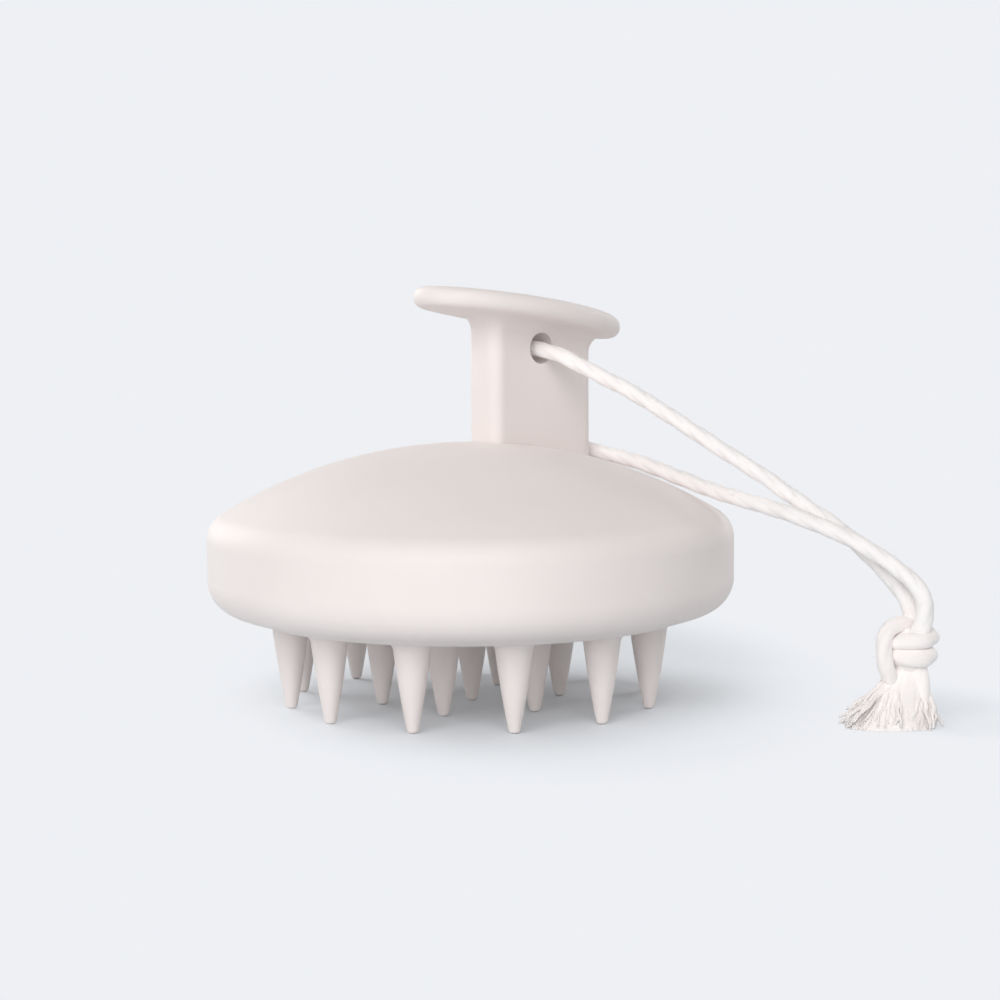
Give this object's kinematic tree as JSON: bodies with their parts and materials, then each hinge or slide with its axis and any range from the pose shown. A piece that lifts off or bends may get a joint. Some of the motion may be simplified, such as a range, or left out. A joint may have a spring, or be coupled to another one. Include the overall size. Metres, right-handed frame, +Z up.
{
  "type": "scalp massager",
  "caption": "Hand scalp massager: domed round silicone body on cone bristles, a flat stem with a tilted oval grip plate, and a knotted cotton hanging loop through the stem.",
  "frame": {"origin": "on the floor, under the middle of the round body, where the centre bristle's tip stands", "axes": "+Z up along the body's axis, +X along the stem's wide side towards the grip plate's lower end"},
  "size_m": [0.0796, 0.1048, 0.063],
  "materials": {
    "silicone": "matte",
    "cotton_cord": "matte"
  },
  "bodies": {
    "body": {"dome_body": "silicone", "handle": "silicone", "bristle_pad": "silicone"},
    "cord": {"cord_front_leg": "cotton_cord", "cord_back_leg": "cotton_cord", "cord_knot": "cotton_cord", "cord_tassel": "cotton_cord"},
    "bristle_centre": {"bristle_centre": "silicone"},
    "bristle_inner_01": {"bristle_inner_01": "silicone"},
    "bristle_inner_02": {"bristle_inner_02": "silicone"},
    "bristle_inner_03": {"bristle_inner_03": "silicone"},
    "bristle_inner_04": {"bristle_inner_04": "silicone"},
    "bristle_inner_05": {"bristle_inner_05": "silicone"},
    "bristle_inner_06": {"bristle_inner_06": "silicone"},
    "bristle_outer_01": {"bristle_outer_01": "silicone"},
    "bristle_outer_02": {"bristle_outer_02": "silicone"},
    "bristle_outer_03": {"bristle_outer_03": "silicone"},
    "bristle_outer_04": {"bristle_outer_04": "silicone"},
    "bristle_outer_05": {"bristle_outer_05": "silicone"},
    "bristle_outer_06": {"bristle_outer_06": "silicone"},
    "bristle_outer_07": {"bristle_outer_07": "silicone"},
    "bristle_outer_08": {"bristle_outer_08": "silicone"},
    "bristle_outer_09": {"bristle_outer_09": "silicone"},
    "bristle_outer_10": {"bristle_outer_10": "silicone"},
    "bristle_outer_11": {"bristle_outer_11": "silicone"},
    "bristle_outer_12": {"bristle_outer_12": "silicone"}
  },
  "joints": [
    {"name": "bristle_centre_bend", "type": "hinge", "parent": "body", "child": "bristle_centre", "pos_m": [0, 0, 0.0132], "axis": [0, -1, 0], "range_deg": [-20, 20], "stiffness_Nm_per_rad": 0.01},
    {"name": "bristle_inner_01_bend", "type": "hinge", "parent": "body", "child": "bristle_inner_01", "pos_m": [0.01199, 0.00692, 0.0132], "axis": [0.5, -0.866, 0], "range_deg": [-20, 20], "stiffness_Nm_per_rad": 0.01},
    {"name": "bristle_inner_02_bend", "type": "hinge", "parent": "body", "child": "bristle_inner_02", "pos_m": [0, 0.01385, 0.0132], "axis": [1, 0, 0], "range_deg": [-20, 20], "stiffness_Nm_per_rad": 0.01},
    {"name": "bristle_inner_03_bend", "type": "hinge", "parent": "body", "child": "bristle_inner_03", "pos_m": [-0.01199, 0.00692, 0.0132], "axis": [0.5, 0.866, 0], "range_deg": [-20, 20], "stiffness_Nm_per_rad": 0.01},
    {"name": "bristle_inner_04_bend", "type": "hinge", "parent": "body", "child": "bristle_inner_04", "pos_m": [-0.01199, -0.00692, 0.0132], "axis": [-0.5, 0.866, 0], "range_deg": [-20, 20], "stiffness_Nm_per_rad": 0.01},
    {"name": "bristle_inner_05_bend", "type": "hinge", "parent": "body", "child": "bristle_inner_05", "pos_m": [0, -0.01385, 0.0132], "axis": [-1, 0, 0], "range_deg": [-20, 20], "stiffness_Nm_per_rad": 0.01},
    {"name": "bristle_inner_06_bend", "type": "hinge", "parent": "body", "child": "bristle_inner_06", "pos_m": [0.01199, -0.00692, 0.0132], "axis": [-0.5, -0.866, 0], "range_deg": [-20, 20], "stiffness_Nm_per_rad": 0.01},
    {"name": "bristle_outer_01_bend", "type": "hinge", "parent": "body", "child": "bristle_outer_01", "pos_m": [0.0277, 0, 0.0132], "axis": [0, -1, 0], "range_deg": [-20, 20], "stiffness_Nm_per_rad": 0.01},
    {"name": "bristle_outer_02_bend", "type": "hinge", "parent": "body", "child": "bristle_outer_02", "pos_m": [0.02399, 0.01385, 0.0132], "axis": [0.5, -0.866, 0], "range_deg": [-20, 20], "stiffness_Nm_per_rad": 0.01},
    {"name": "bristle_outer_03_bend", "type": "hinge", "parent": "body", "child": "bristle_outer_03", "pos_m": [0.01385, 0.02399, 0.0132], "axis": [0.866, -0.5, 0], "range_deg": [-20, 20], "stiffness_Nm_per_rad": 0.01},
    {"name": "bristle_outer_04_bend", "type": "hinge", "parent": "body", "child": "bristle_outer_04", "pos_m": [0, 0.0277, 0.0132], "axis": [1, 0, 0], "range_deg": [-20, 20], "stiffness_Nm_per_rad": 0.01},
    {"name": "bristle_outer_05_bend", "type": "hinge", "parent": "body", "child": "bristle_outer_05", "pos_m": [-0.01385, 0.02399, 0.0132], "axis": [0.866, 0.5, 0], "range_deg": [-20, 20], "stiffness_Nm_per_rad": 0.01},
    {"name": "bristle_outer_06_bend", "type": "hinge", "parent": "body", "child": "bristle_outer_06", "pos_m": [-0.02399, 0.01385, 0.0132], "axis": [0.5, 0.866, 0], "range_deg": [-20, 20], "stiffness_Nm_per_rad": 0.01},
    {"name": "bristle_outer_07_bend", "type": "hinge", "parent": "body", "child": "bristle_outer_07", "pos_m": [-0.0277, 0, 0.0132], "axis": [0, 1, 0], "range_deg": [-20, 20], "stiffness_Nm_per_rad": 0.01},
    {"name": "bristle_outer_08_bend", "type": "hinge", "parent": "body", "child": "bristle_outer_08", "pos_m": [-0.02399, -0.01385, 0.0132], "axis": [-0.5, 0.866, 0], "range_deg": [-20, 20], "stiffness_Nm_per_rad": 0.01},
    {"name": "bristle_outer_09_bend", "type": "hinge", "parent": "body", "child": "bristle_outer_09", "pos_m": [-0.01385, -0.02399, 0.0132], "axis": [-0.866, 0.5, 0], "range_deg": [-20, 20], "stiffness_Nm_per_rad": 0.01},
    {"name": "bristle_outer_10_bend", "type": "hinge", "parent": "body", "child": "bristle_outer_10", "pos_m": [0, -0.0277, 0.0132], "axis": [-1, 0, 0], "range_deg": [-20, 20], "stiffness_Nm_per_rad": 0.01},
    {"name": "bristle_outer_11_bend", "type": "hinge", "parent": "body", "child": "bristle_outer_11", "pos_m": [0.01385, -0.02399, 0.0132], "axis": [-0.866, -0.5, 0], "range_deg": [-20, 20], "stiffness_Nm_per_rad": 0.01},
    {"name": "bristle_outer_12_bend", "type": "hinge", "parent": "body", "child": "bristle_outer_12", "pos_m": [0.02399, -0.01385, 0.0132], "axis": [-0.5, -0.866, 0], "range_deg": [-20, 20], "stiffness_Nm_per_rad": 0.01},
    {"name": "cord_swing", "type": "hinge", "parent": "body", "child": "cord", "pos_m": [0.0119, 0, 0.0535], "axis": [0, -1, 0], "range_deg": [0, 50]}
  ]
}
